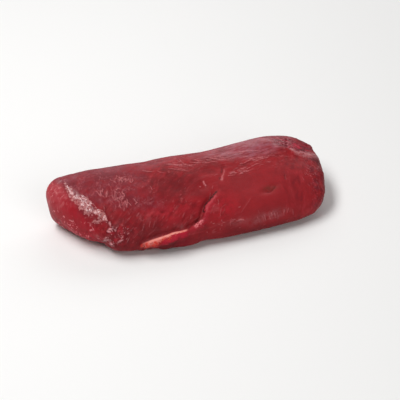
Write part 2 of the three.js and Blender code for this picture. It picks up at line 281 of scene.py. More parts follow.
def seam_relief(distance, walked):
    """A standing flap with an undercut, passing into a slit with a lip that fades to its right, and
    past them a short crease."""
    full = step(walked, 0, FLAP_END)
    thickness = lerp(FLAP_TIP_THICKNESS, FLAP_THICKNESS, full)
    below = step(distance, thickness + FLAP_FOOT[0], thickness + FLAP_FOOT[1])
    rise = step(distance, *LIP_RISE)
    groove = bell(distance - GROOVE_MIDDLE, SLIT_HALF_WIDTH)
    flap = lerp(FLAP_TIP_LIP, FLAP_LIP, full) * rise * (1 - below) - FLAP_GROOVE * groove
    flap -= FLAP_UNDERCUT * below * bell(distance, SLIT_LIP_SPREAD)
    slit = SLIT_LIP * rise * bell(np.maximum(distance - LIP_FLAT, 0), SLIT_LIP_SPREAD) - SLIT_DEPTH * groove
    shown = plateau(walked, *FLAP_TIP, SLIT_FADE_START, SLIT_END)
    crease = step(walked, *CREASE_START) * bell(distance - GROOVE_MIDDLE, CREASE_HALF_WIDTH)
    return shown * lerp(flap, slit, step(walked, FLAP_END, SLIT_START)) - CREASE_DEPTH * crease


def skin_edge_relief(x, y, distance, walked):
    """A ridge on the path's right hand, and on its left a lower lobe with a pit."""
    behind = np.maximum(-distance, 0)
    lobe = LOBE_DROP * plateau(behind, *LOBE_SPAN)
    ridge = SKIN_EDGE_HEIGHT * bell(distance - 1, SKIN_EDGE_HALF_WIDTH)
    return step(walked, *SKIN_EDGE_START) * (ridge - lobe) - PIT_DEPTH * spots(x, y, PIT)


def far_crease_relief(x, z):
    """The deeper of the two creases, each fading out towards both of its ends."""
    measured = [measure_from(crease, x, z) for crease in FAR_CREASES]
    creases = [plateau(walked, *FAR_CREASE_SPAN) * bell(distance, FAR_CREASE_HALF_WIDTH)
               for distance, walked in measured]
    return -FAR_CREASE_DEPTH * np.maximum(*creases)


def unevenness(x, y, z):
    """Slow waves: the product of two crossed sines, plus a third sine."""
    lumps = np.sin(x / 9 + y / 14) * np.sin(y / 8 - z / 11)
    return UNEVENNESS * (lumps + np.sin(x / 17 - z / 7 + 2))


def crags(y, z):
    """Waves over the ragged face: the product of a bent and a straight sine, plus a slanting sine."""
    bundles = np.sin(y / 3.4 + 1.4 * np.sin(z / 6.2)) * np.sin(z / 4.6 + 0.8)
    return CRAG_HEIGHT * (bundles + 0.6 * np.sin(y / 6.1 - z / 3.7))


class Surface:
    """The fine grid: every place's coordinates, and the measures that relief and colour are drawn by."""

    def __init__(self):
        walks = (np.arange(RING_COUNT) + 1) * WHOLE_WALK / (RING_COUNT + 1)
        self.walk, self.angle = np.meshgrid(walks, ring_angles(), indexing="ij")
        self.form, self.along, self.girth, self.side = main_form(self.walk, self.angle)
        self.normal = outward_normals(self.walk, self.angle)
        self.x, self.y, self.z = np.moveaxis(self.form, -1, 0)
        self.v = (self.y + self.z) / math.sqrt(2)
        self.down = girth_from_crest(self.form, self.angle)
        self.seam, self.seam_walked = measure_from(SEAM, self.x, self.v)
        self.edge, self.edge_walked = measure_from(SKIN_EDGE, self.x, self.y)
        self.near_slope = step(-self.side, *NEAR_SLOPE_SPAN)
        self.on_top = step(self.z, *TOP_HEIGHTS) * step(self.girth, *TOP_GIRTHS)
        self.far_flank = step(self.side, *FAR_FLANK_SPAN)
        self.ragged = step(self.along, CRAG_START, 1) * self.girth
        self.above_floor = step(self.z, SINK, SINK + 4)


def ring_angles():
    """Angles from underneath, over the far flank and the crest, and back, spaced by distance round the
    middle section, and wider apart on the far side and underneath."""
    angles = (np.arange(FINE_STEPS) / FINE_STEPS - 0.25) * 2 * math.pi
    places = main_form(np.full(FINE_STEPS, WHOLE_WALK / 2), angles)[0]
    steps = np.linalg.norm(np.roll(places, -1, axis=0) - places, axis=1)
    far_side = np.where(places[:, 1] > CREST_Y, SPACING_FAR_SIDE, 1)
    spent = np.cumsum(steps / np.where(places[:, 2] < SINK, SPACING_UNDERNEATH, far_side))
    return np.interp(np.arange(RING_POINTS) / RING_POINTS * spent[-1], spent, angles)


def girth_from_crest(form, angle):
    """Distance walked round each ring from its crest, positive down the near slope."""
    steps = np.linalg.norm(np.diff(form, axis=1), axis=-1)
    walked = np.concatenate([np.zeros((len(form), 1)), np.cumsum(steps, axis=1)], axis=1)
    crest = np.abs(angle[0] - math.pi / 2).argmin()
    return walked - walked[:, crest:crest + 1]


def coarse_relief(s):
    """The same relief as the solid's: seam, swells, skin edge, creases, waves, crags and the rim's lip."""
    height = s.near_slope * (seam_relief(s.seam, s.seam_walked) + spots(s.x, s.v, SWELLS))
    height += s.on_top * skin_edge_relief(s.x, s.y, s.edge, s.edge_walked)
    height += s.far_flank * far_crease_relief(s.x, s.z)
    height += unevenness(s.x, s.y, s.z)
    height += s.ragged * crags(s.y, s.z)
    height += RIM_LIP * bell(s.walk - FACE_WALK, RIM_HALF_WIDTH)
    return height * s.above_floor


# Relief finer than the solid's, with the marks that colour follows

# Threads: drawn at places spread round (x, down) in mm. Turn is their direction on that chart in degrees
# and stray how far it varies, then come their usual length, height, count, and how pale they are.
Patch = namedtuple("Patch", "x down spread_x spread_down turn stray length height count pale")
THREADS = {
    "tangle": (-65, 31, 12, 11, -76, 26, 8, 0.12, 66, 0.7),
    "bright knot": (-54.5, 16.5, 3, 2.4, -40, 55, 7, 0.2, 26, 1),
    "left knot": (-75.5, 28, 3, 6, -80, 16, 9, 0.18, 16, 0.9),
    "low knot": (-64, 41, 5, 5, -66, 34, 8, 0.2, 34, 1),
    "beside the rim": (-92, 24, 8, 13, -84, 16, 7, 0.08, 22, 0.4),
    "left crest": (-64, 7, 20, 4, 4, 9, 11, 0.08, 40, 0.45),
    "front left": (-60, 67, 9, 6, -42, 14, 9, 0.16, 40, 0.6),
    "middle front": (-38, 62, 10, 8, -38, 12, 11, 0.1, 22, 0.4),
    "left of the slit": (-12, 70, 5, 4.5, -50, 10, 7, 0.14, 24, 0.65),
    "over the crest": (-2, 12, 9, 5, 50, 16, 9, 0.08, 14, 0.7),
    "arcs": (-2, 9, 14, 4, 24, 9, 18, 0.06, 16, 0.85),
    "along the crest": (33, 12, 13, 3.4, 20, 7, 16, 0.1, 26, 0.8),
    "left streaks": (36, 33, 2.5, 0.8, -8, 8, 7, 0.12, 5, 0.9),
    "streaks": (50, 31.5, 8, 2.6, -10, 6, 9, 0.15, 40, 0.7),
    "upper streaks": (60, 23.5, 10, 3.2, -6, 6, 8, 0.14, 46, 0.75),
    "right streaks": (80, 27, 10, 5, -8, 8, 9, 0.08, 24, 0.5),
    "comb": (54, 80.5, 8, 1.8, -80, 9, 6, 0.12, 56, 0.62),
    "right of the slit": (10, 62, 5, 7, -58, 12, 8, 0.12, 22, 0.6),
    "smear": (25, 79.5, 5, 1.6, -12, 10, 6, 0.12, 14, 0.7),
    "low flecks": (12, 77, 9, 4, -35, 40, 3, 0.14, 22, 0.7),
    "ragged end": (105, 46, 5, 20, 66, 24, 5, 0.2, 70, 0.6),
    "far flank": (0, -34, 60, 12, 10, 12, 16, 0.15, 60, 0.5),
}
# Wet threads that glint, painted pale as highlights: at the near corner, along the foot of the cut end, and
# by the flap's tip
GLINTS = {
    "corner": (-80.6, 62.8, 0.7, 0.7, -30, 60, 2.6, 0.3, 14, 1),
    "upper arcs": (-81.4, 67.2, 1.6, 0.9, 39, 16, 6, 0.3, 8, 1),
    "lower arcs": (-82.6, 69.8, 1.4, 0.9, 37, 20, 4, 0.3, 7, 0.9),
    "left of the arcs": (-85.3, 69.4, 0.6, 0.5, 30, 30, 3, 0.3, 4, 1),
    "foot of the corner": (-80.8, 75.6, 0.9, 0.9, 40, 40, 3, 0.3, 5, 1),
    "round the corner": (-78, 71, 4.5, 4.5, 0, 50, 3, 0.25, 14, 0.55),
    "foot of the cut end": (-91, 57, 6, 8, -30, 60, 3, 0.3, 26, 0.7),
    "left foot": (-103, 36, 4, 8, 60, 50, 2.5, 0.25, 12, 0.6),
    "left of the tip": (-75, 79, 0.4, 0.4, -5, 5, 7, 0.3, 2, 1),
    "by the tip": (-69, 80.3, 0.4, 0.4, -45, 6, 6, 0.3, 2, 1),
}
THREAD_HALF_WIDTH = 0.58
BEND_PER_STRAY = 0.01
# Soft greyish pink blotches, over (x, down)
HAZES = [
    (57, 81, 13, 3.4, 0.8), (40, 84, 6, 3, 0.5), (26, 80, 7, 2.6, 0.6), (-24, 75, 3.2, 2.6, 0.7),
    (8, 66, 5, 3, 0.5), (101, 33, 8, 6, 0.3), (-50, 62, 9, 5, 0.3),
]

# The slit's line of painted shade, as [x, v]
SLIT_LINE = [
    (-1.7, -4), (-1.2, -1.8), (-0.2, 1.5), (1.1, 4.1), (3.2, 5.8), (5.8, 7.8), (8.4, 9.8), (11, 11.3),
    (13.6, 13), (16, 14.6),
]

# Small tears: a path in [x, v], its depth, and how pale its edge is
TEARS = [
    ([(-10.7, -9.6), (-9.6, -8.3), (-6.6, -7.2)], 0.4, 0),
    ([(-4.2, -7.8), (-2.6, -6.9), (-0.6, -6.4)], 0.35, 0),
    ([(7.2, 27.5), (6.6, 23.5), (8.2, 20.2)], 0.15, 0.9),
    ([(1.8, 21.6), (3.3, 20.7), (5.2, 21.2)], 0.1, 0.7),
    ([(43.5, 4.9), (36, -1.5), (26, -10.2)], 0.05, 0.42),
    ([(56, 5.6), (61, 4.6), (66, 7.4), (68.5, 9.6)], 0.3, 0),
    ([(79, 17.5), (77.8, 14.6), (78, 11.4)], 0.3, 0),
]
TEAR_HALF_WIDTH = 0.8
TEAR_LIP = 0.2
TEAR_REACH = 1.6 * TEAR_HALF_WIDTH

# Gloss on the cut end's rim, also painted pale as a highlight: where it runs on the walk and how wide it is,
# at the crest and lower down, and what changes at its low part, where a branch leans away from it. Spans are
# distances down from the crest.
GLOSS_WALKS, GLOSS_HALF_WIDTHS, GLOSS_START, GLOSS_END, GLOSS = (39, 36), (0.9, 4.8), (0, 8), (57, 62), 1.6
LOW_GLOSS_START, LOW_GLOSS_SHIFT, LOW_GLOSS_NARROWING = (43, 51), 5.5, 0.4
BRANCH_WALK, BRANCH_DOWN, BRANCH_LEAN, BRANCH_HALF_WIDTH = 34, 52.8, 0.85, 2.3
BRANCH_SPAN = (49, 51.5, 57, 60)

# Where masks fade in and out: on the walk, along x, down from the crest, or along or across a line
CUT_FACE_END, RAGGED_FACE_START = (28, 37), (266, 284)
FILM_END_X, FILM_END_DOWN = (-60, -26), (44, 60)
# The crest's film: the membrane's own pale colour, lightened further as a painted sheen
CREST_FILM_REACH, CREST_FILM_FADE, CREST_FILM_HALF_LENGTH = (3, 18), (-6, 8), 34
LOBE_COLOUR_SPAN = (0.5, 3, 15, 22)
FLAP_CRUMB_SPAN, SLIT_CRUMB_SPAN = (0, 6, 44, 56), (56, 66, 86, 98)
RIGHT_FOOT_START_X, RIGHT_FOOT_START_DOWN = (20, 45), (85, 91)

# Fibre bundles: their slant in degrees at the right and the left, length and width
BUNDLE_SLANTS, BUNDLE_LENGTH, BUNDLE_WIDTH = (6, 40), 17, 3.4

# Soft patches of colour: rich glows, the centre's shade, painted shade at the front, along the foot by the
# floor and in the near corner's folds, the dent's painted shade, the lobe's holes and crimson; and the calm
# part's middle, half length and fade along x and down
RICH_GLOWS = [(-22, 4, 18, 9, 1), (16, -1, 12, 10, 1), (-42, 7, 10, 7, 1)]
CENTRE_SHADE = [(-18, 37, 23, 15, 0.8)]
FRONT_SHADES = [(-64, 64, 14, 12, 0.5), (-42, 73, 16, 6, 0.85), (-17, 66, 8, 6, 0.5)]
FOOT_SHADES = [(-52, 86, 30, 9, 1), (16, 90, 26, 7, 0.7)]
DARK_CORNER = [(-75, 74, 13, 10, 1.3)]
DENT = [(61.8, 8, 5.8, 2.5, 1.5)]
HOLES = [(95, 26, 7, 7, 1)]
CRIMSON = [(111, 22, 10, 4.5, 1)]
CALM_ALONG, CALM_DOWN = (62, 22, 34), (58, 8, 21)

# Added to the distance from a line where the line isn't shown
FAR_AWAY = 60


def thread_marks(s, patch, draw):
    """Short bent threads at random places of a patch. Across a thread the mark is a bell and its ends
    taper. A shaded line runs along the lower side of each."""
    marks, shade = np.zeros((2, *s.x.shape))
    for _ in range(patch.count):
        x = patch.x + patch.spread_x * draw.normal()
        down = patch.down + patch.spread_down * draw.normal()
        turn = math.radians(patch.turn + patch.stray * draw.normal())
        half = patch.length * draw.uniform(0.25, 0.75)
        bend = draw.normal(0, BEND_PER_STRAY * patch.stray)
        strength = draw.uniform(0.35, 1)
        off_x, off_down = s.x - x, s.down - down
        along = off_x * math.cos(turn) + off_down * math.sin(turn)
        across = off_down * math.cos(turn) - off_x * math.sin(turn) + bend * (half - along ** 2 / half)
        taper = strength * fade(np.abs(along), 0.4 * half, half)
        marks = np.maximum(marks, taper * bell(across, THREAD_HALF_WIDTH))
        shade = np.maximum(shade, taper * bell(across - 1.8 * THREAD_HALF_WIDTH, THREAD_HALF_WIDTH))
    return marks, shade


def all_threads(s, patches, seed):
    """Height, paleness and shade of every patch of threads."""
    draw = np.random.default_rng(seed)
    height, pale, dark = np.zeros((3, *s.x.shape))
    for patch in map(Patch._make, patches.values()):
        marks, shade = thread_marks(s, patch, draw)
        height += patch.height * (marks - 0.5 * shade)
        pale = np.maximum(pale, patch.pale * marks)
        dark = np.maximum(dark, patch.pale * shade)
    return height, pale, dark


def all_tears(s):
    """Height, pale edge and painted shade in the cut of the small tears."""
    height, pale, dark = np.zeros((3, *s.x.shape))
    for points, depth, paleness in TEARS:
        distance, walked = measure_from(points, s.x, s.v)
        length = walked.max()
        shown = plateau(walked, 0, 0.2 * length, 0.8 * length, length)
        cut = shown * bell(distance, TEAR_HALF_WIDTH) * s.near_slope
        lip = shown * bell(distance + TEAR_REACH, TEAR_HALF_WIDTH) * s.near_slope
        height += TEAR_LIP * lip - depth * cut
        pale = np.maximum(pale, paleness * lip)
        dark = np.maximum(dark, 2 * depth * cut)
    return height, pale, dark


def rough(s, size, seed, layers=3):
    """Layered noise with cells of that size."""
    return layered_noise(s.x / size, s.y / size, s.z / size, seed, layers)


def ridged(s, size, seed):
    """Noise folded at zero, so that it has sharp winding ridges, from -0.5 to 0.5."""
    return 0.5 - np.abs(rough(s, size, seed, layers=2)) / 1.5


def bundles(s):
    """Soft uneven fibre bundles: noise stretched along the grain, which slants more towards the left."""
    turn = np.radians(lerp(*BUNDLE_SLANTS, fade(s.x + 0.4 * s.down, -10, 30)))
    along = s.x * np.cos(turn) - s.down * np.sin(turn)
    across = s.x * np.sin(turn) + s.down * np.cos(turn)
    return layered_noise(along / BUNDLE_LENGTH, across / BUNDLE_WIDTH, 0.0, seed=41, layers=2)


class Marks:
    """Fine relief in mm, the masks from 0 to 1 that the meat's colour and gloss follow, and the distances
    from the seam, the slit and the skin edge, from which the shader draws their sharpest lines."""

    def __init__(self, s):
        self.wander = rough(s, 16, seed=3)
        self.lumps = rough(s, 6, seed=5, layers=2)
        self.measure_lines(s)
        self.mark_ends(s)
        self.mark_tones(s)
        self.draw_threads(s)
        self.height = self.fine_relief(s) * s.above_floor

    def measure_lines(self, s):
        """Distances from the lines and lengths along them, moved far away where a line isn't shown."""
        seen_side = s.near_slope * step(s.z, SINK - 1, SINK + 1)
        self.seam = s.seam + np.copysign(FAR_AWAY * (1 - seen_side), s.seam)
        self.seam_walked = s.seam_walked
        self.slit, self.slit_walked = measure_from(SLIT_LINE, s.x, s.v)
        self.slit += np.copysign(FAR_AWAY * (1 - seen_side), self.slit)
        self.edge = s.edge + np.copysign(FAR_AWAY * fade(s.z, 14, 30), s.edge)
        self.edge_walked = s.edge_walked

    def mark_ends(self, s):
        """The cut end with its rim and near corner, and the ragged end with its lobe, holes and crimson."""
        low = step(s.down, *LOW_GLOSS_START)
        half_width = lerp(*GLOSS_HALF_WIDTHS, step(s.down, 8, 36)) - LOW_GLOSS_NARROWING * low
        middle = lerp(*GLOSS_WALKS, step(s.down, 0, 24)) + LOW_GLOSS_SHIFT * low
        rim = np.clip(GLOSS * bell(s.walk - middle + 1.5 * self.lumps, half_width), 0, 1)
        rim *= step(s.down, *GLOSS_START) * fade(s.down + 3 * self.lumps, *GLOSS_END)
        off_branch = s.walk - BRANCH_WALK - BRANCH_LEAN * (s.down - BRANCH_DOWN) + self.lumps
        branch = bell(off_branch, BRANCH_HALF_WIDTH) * plateau(s.down, *BRANCH_SPAN)
        self.rim = np.maximum(rim, branch)
        self.corner = np.clip(spots(s.x, s.down, DARK_CORNER), 0, 1)
        self.cut = fade(s.walk + 3 * self.wander, *CUT_FACE_END)
        self.ragged = step(s.walk + 4 * self.wander, *RAGGED_FACE_START)
        self.lobe = s.on_top * step(s.edge_walked, *SKIN_EDGE_START) * plateau(-s.edge, *LOBE_COLOUR_SPAN)
        self.crimson = self.lobe * spots(s.x, s.y, CRIMSON)
        self.holes = s.on_top * spots(s.x, s.y, HOLES)

    def mark_tones(self, s):
        """Films (the crest's with a painted sheen), glows, painted shades, the slant of the fibres, the calm
        part and the haze.
        """
        between_ends = (1 - self.cut) * (1 - self.ragged)
        self.film = between_ends * fade(s.x + 10 * self.wander, *FILM_END_X)
        self.film *= fade(s.down + 8 * self.wander, *FILM_END_DOWN)
        reach = lerp(*CREST_FILM_REACH, bell(s.x - 66, CREST_FILM_HALF_LENGTH))
        self.crest = between_ends * lerp(0.3, 1, bell(s.x - 62, CREST_FILM_HALF_LENGTH))
        self.crest *= fade(s.down + 4 * self.wander - reach, *CREST_FILM_FADE)
        self.rich = np.clip(spots(s.x, s.v, RICH_GLOWS), 0, 1)
        # Painted shade: in the centre, at the front above the flap and by the near corner, and along the
        # foot by the floor
        right_foot = step(s.x, *RIGHT_FOOT_START_X) * step(s.down, *RIGHT_FOOT_START_DOWN) * s.near_slope
        shades = spots(s.x, s.down, CENTRE_SHADE + FRONT_SHADES + FOOT_SHADES)
        self.dusk = np.clip(shades + 0.8 * right_foot, 0, 1)
        self.slant = fade(s.x + 0.4 * s.down, 0, 30)
        self.calm = wide_bell(s.x, *CALM_ALONG) * wide_bell(s.down, *CALM_DOWN)
        self.haze = spots(s.x, s.down, HAZES)

    def draw_threads(self, s):
        """Threads, glints, tears, the pit and the dent, with painted shade beside the threads and in the
        tears, the pit and the dent.
        """
        thread_height, thread_pale, thread_dark = all_threads(s, THREADS, seed=7)
        glint_height, self.glint, glint_dark = all_threads(s, GLINTS, seed=8)
        tear_height, tear_pale, tear_dark = all_tears(s)
        pit = spots(s.x, s.y, PIT) * s.on_top
        self.drawn_height = thread_height + glint_height + tear_height
        self.pale = np.maximum(thread_pale, tear_pale)
        self.dark = np.maximum.reduce([0.8 * thread_dark, glint_dark, tear_dark, 0.5 * pit])
        self.bruise = np.clip(spots(s.x, s.v, DENT) * s.near_slope, 0, 1)

    def fine_relief(self, s):
        """The drawn marks, soft lumps and fibre bundles, and crumbs and folds on the rim, the near corner,
        the flap, the slit's edges, the lobe and the ragged end."""
        fine = rough(s, 2.2, seed=11)
        crumbs = ridged(s, 2.6, seed=21)
        clots = ridged(s, 4.2, seed=27)
        folds = ridged(s, 6, seed=31)
        slit = plateau(s.seam_walked, *SLIT_CRUMB_SPAN) * s.near_slope
        flap = plateau(s.seam_walked, *FLAP_CRUMB_SPAN) * s.near_slope
        uneven_seam = s.seam + 0.7 * fine
        off_crest = 0.3 + 0.7 * step(s.down, 6, 22)
        lively = (1 - self.calm) * (1 - 0.65 * spots(s.x, s.down, CENTRE_SHADE))
        height = 0.3 * self.wander + self.drawn_height
        height += lively * (0.03 * fine + off_crest * (0.16 * self.lumps + 0.22 * bundles(s)))
        height += self.rim * (0.2 * crumbs + 1.1 * clots + 0.4 * folds)
        height += self.corner * (1.4 * folds + 0.4 * crumbs)
        height += flap * bell(s.seam - 3, 3.5) * (1.1 * crumbs + 0.6 * folds)
        height += slit * (0.2 * bell(uneven_seam - 1.4, 1.2) - 0.2 * bell(uneven_seam + 0.9, 0.8))
        height += slit * bell(s.seam - 5, 5) * (0.7 * crumbs + 0.4 * folds)
        return height + (0.45 * self.ragged + self.lobe) * (0.9 * crumbs + 1.1 * folds)


def finished_points(s, height):
    """Grid points moved out by the relief, cut flat at the floor, and fitted to the solid's box."""
    points = s.form + s.normal * height[..., None]
    points[..., 2] = np.maximum(points[..., 2] - SINK, 0)
    poles = main_form(np.array([0.0, WHOLE_WALK]), 0.0)[0]
    poles[:, 2] -= SINK
    points = np.concatenate([points.reshape(-1, 3), poles])
    low, high = points.min(axis=0), points.max(axis=0)
    return FILLET_LOW + (points - low) / (high - low) * (FILLET_HIGH - FILLET_LOW)


def grid_faces(rings, count):
    """Quads between neighbouring rings, and a fan of triangles from each pole."""
    here = np.arange(count)
    after = (here + 1) % count
    ring, last_ring, pole = np.arange(rings - 1)[:, None] * count, (rings - 1) * count, rings * count
    quads = np.stack([ring + here, ring + after, ring + after + count, ring + here + count], axis=-1)
    first_fan = np.stack([here, np.full(count, pole), after], axis=-1)
    last_fan = np.stack([last_ring + here, last_ring + after, np.full(count, pole + 1)], axis=-1)
    return quads.reshape(-1, 4).tolist() + first_fan.tolist() + last_fan.tolist()


def in_scene(name, data):
    """A new object in the scene that holds this mesh, light or camera."""
    made = bpy.data.objects.new(name, data)
    bpy.context.scene.collection.objects.link(made)
    return made


def mesh_object(name, points, faces):
    """A smooth-shaded mesh, at the origin."""
    mesh = bpy.data.meshes.new(name)
    mesh.from_pydata(points, [], faces, shade_flat=False)
    return in_scene(name, mesh)


def add_measure(piece, name, values):
    """Stores one number for each grid point, and for each pole the mean of the ring beside it."""
    with_poles = np.concatenate([values.ravel(), [values[0].mean(), values[-1].mean()]])
    attribute = piece.data.attributes.new(name, "FLOAT", "POINT")
    attribute.data.foreach_set("value", with_poles.astype(np.float32))


def build_fillet():
    """The one piece: the fine surface with its measures and its material."""
    s = Surface()
    marks = Marks(s)
    points = finished_points(s, coarse_relief(s) + marks.height)
    piece = mesh_object("fillet_meat", points, grid_faces(RING_COUNT, RING_POINTS))
    for name in Measures._fields:
        add_measure(piece, name, getattr(marks, name))
    piece.data.materials.append(raw_venison())
    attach(piece, "root")
    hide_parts("fillet")


# Shader

NOISE_GAIN = 7
STROKE_SIZE, STROKE_LEVELS = (6, 1.8), (0.1, 0.18)


class Value:
    """A number in a material's nodes: Python's operators on it add Math nodes."""

    def __init__(self, finish, socket):
        self.finish = finish
        self.socket = socket

    def math(self, operation, *values):
        """One operation on these numbers."""
        return self.finish.value("Math", {"operation": operation}, dict(enumerate(values)))

    def __add__(self, other):
        return self.math("ADD", self, other)

    __radd__ = __add__

    def __sub__(self, other):
        return self.math("SUBTRACT", self, other)

    def __rsub__(self, other):
        return self.math("SUBTRACT", other, self)

    def __mul__(self, other):
        return self.math("MULTIPLY", self, other)

    __rmul__ = __mul__

    def __truediv__(self, other):
        return self.math("DIVIDE", self, other)

    def __abs__(self):
        return self.math("ABSOLUTE", self)

    def step(self, low, high):
        """0 at low and 1 at high, smooth between them."""
        sockets = {"Value": self, "From Min": low, "From Max": high}
        settings = {"interpolation_type": "SMOOTHSTEP"}
        return self.finish.value("MapRange", settings, sockets)

    def fade(self, low, high):
        """1 at low and 0 at high, smooth between them."""
        return 1 - self.step(low, high)

    def plateau(self, rise_start, rise_end, fade_start, fade_end):
        """Rises from 0 to 1, stays there, and fades to 0 again."""
        return self.step(rise_start, rise_end) * self.fade(fade_start, fade_end)

    def clipped(self):
        """The number kept between 0 and 1."""
        settings = {"operation": "ADD", "use_clamp": True}
        return self.finish.value("Math", settings, {0: self, 1: 0})


class Finish:
    """A material under construction, on one Principled shader."""

    def __init__(self, name):
        self.material = bpy.data.materials.new(name)
        self.material.use_nodes = True
        self.tree = self.material.node_tree
        self.shader = self.tree.nodes["Principled BSDF"]

    def value(self, kind, settings, sockets, output=0):
        """One output of a new node, whose settings are made first, then its sockets' values and links."""
        node = self.tree.nodes.new("ShaderNode" + kind)
        for name, setting in settings.items():
            setattr(node, name, setting)
        self.fill(node, sockets)
        return Value(self, node.outputs[output])

    def fill(self, node, sockets):
        """Links a socket to a Value, or sets it to anything else."""
        for key, value in sockets.items():
            if isinstance(value, Value):
                self.tree.links.new(value.socket, node.inputs[key])
            else:
                node.inputs[key].default_value = value

    @cached_property
    def where(self):
        """Object coordinates in millimetres."""
        found = self.value("TexCoord", {}, {}, "Object")
        return self.value("VectorMath", {"operation": "SCALE"}, {0: found, "Scale": 1 / MM})

    def measure(self, name):
        """A mask that the mesh holds for each of its points."""
        return self.value("Attribute", {"attribute_name": name}, {}, "Fac")

    def dot(self, vector):
        """The dot product of each place and a vector."""
        settings = {"operation": "DOT_PRODUCT"}
        return self.value("VectorMath", settings, {0: self.where, 1: vector}, "Value")

    def grain(self, direction, length, width):
        """Coordinates stretched along a direction, so that a pattern on them has cells of that length
        along it and of that width across it."""
        along = Vector(direction).normalized()
        across = along.orthogonal().normalized()
        third = along.cross(across)
        parts = [self.dot(along / length), self.dot(across / width), self.dot(third / width)]
        return self.value("CombineXYZ", {}, dict(enumerate(parts)))

    def noise(self, where, size, detail, distortion):
        """Layered noise about 0, with cells of the given size."""
        sockets = {"Vector": where, "Scale": 1 / size, "Detail": detail, "Roughness": 0.6,
                   "Distortion": distortion}
        return self.value("TexNoise", {}, sockets, "Fac") - 0.5

    def uneven(self, size, detail, distortion=0.0):
        """Noise that mostly stays between -1 and 1."""
        return NOISE_GAIN * self.noise(self.where, size, detail, distortion)

    def streaks(self, direction, length, width, detail=2, distortion=0.0):
        """The same noise, stretched along a direction."""
        return NOISE_GAIN * self.noise(self.grain(direction, length, width), 1, detail, distortion)

    def threads(self, where, size, half_width, distortion):
        """Thin winding lines where smooth noise passes 0."""
        return abs(self.noise(where, size, 1.0, distortion)).fade(0, half_width)

    def strokes(self, direction):
        """Short separate strokes along a direction, where stretched noise is high."""
        return self.noise(self.grain(direction, *STROKE_SIZE), 1, 1.0, 0.3).step(*STROKE_LEVELS)

    def facets(self, size):
        """Uneven facets: a random number from 0 to 1 for each cell of a bent pattern, and how far its edge
        is, in cells."""
        sockets = {"Vector": self.where, "Scale": 1 / size, "Detail": 1.0}
        wander = self.value("TexNoise", {}, sockets, "Color")
        sockets = {0: wander, 1: (3 * size,) * 3, 2: self.where}
        bent = self.value("VectorMath", {"operation": "MULTIPLY_ADD"}, sockets)
        sockets = {"Vector": bent, "Scale": 1 / size}
        shade = self.value("TexVoronoi", {"feature": "F1"}, sockets, "Color")
        crack = self.value("TexVoronoi", {"feature": "DISTANCE_TO_EDGE"}, sockets, "Distance")
        return shade, crack

    def along(self, direction):
        """How far a place lies along a direction from the origin, in millimetres."""
        return self.dot(Vector(direction).normalized())

    def mix(self, share, start, end):
        """A colour between start and end."""
        settings = {"data_type": "RGBA", "clamp_factor": True}
        return self.value("Mix", settings, {0: share, 6: start, 7: end}, 2)

    def coats(self, colour, coats):
        """The colour with each coat mixed over it in turn, given as its share and a picture's colour."""
        for share, coat in coats:
            colour = self.mix(share, colour, srgb(*coat))
        return colour

    def set(self, **sockets):
        """Sets the shader's sockets, named with underscores for spaces."""
        self.fill(self.shader, {name.replace("_", " "): value for name, value in sockets.items()})


def srgb(red, green, blue):
    """A colour as a picture gives it, from 0 to 255, made linear."""
    shares = (np.array([red, green, blue]) / 255 + 0.055) / 1.055
    return (*(shares ** 2.4), 1.0)


Measures = namedtuple("Measures", """
    seam seam_walked slit slit_walked edge edge_walked rim corner cut ragged film crest rich dusk slant calm
    haze lobe crimson holes pale dark glint bruise
""")
STEEP = (0.25, 0.75, 0.6)


